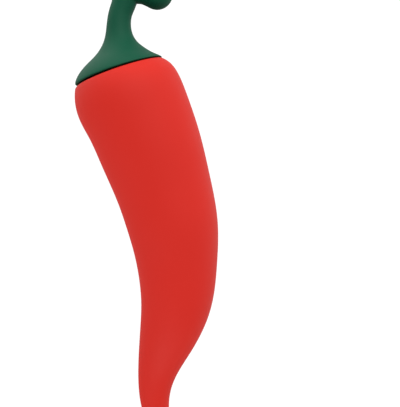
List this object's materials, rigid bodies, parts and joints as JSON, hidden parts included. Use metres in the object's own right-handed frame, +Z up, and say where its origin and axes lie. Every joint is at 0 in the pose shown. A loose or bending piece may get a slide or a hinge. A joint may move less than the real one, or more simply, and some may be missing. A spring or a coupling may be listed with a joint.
{
  "type": "moulded chili pepper",
  "caption": "Smooth curved chili pepper lying on its side: a tapering red pod with a curved tail, and a green flared cap that runs into a hooked, thick-ended stem.",
  "frame": {"origin": "middle of the box round the part, at its base, where the pod rests", "axes": "+Y along the length, towards the stem; +Z up from the surface it lies on; +X to the side the hook bends to"},
  "size_m": [0.0501, 0.1722, 0.0378],
  "materials": {
    "red_skin": "smooth matte",
    "green_skin": "smooth matte"
  },
  "bodies": {
    "root": {"pod": "red_skin", "calyx_stem": "green_skin"}
  },
  "joints": []
}
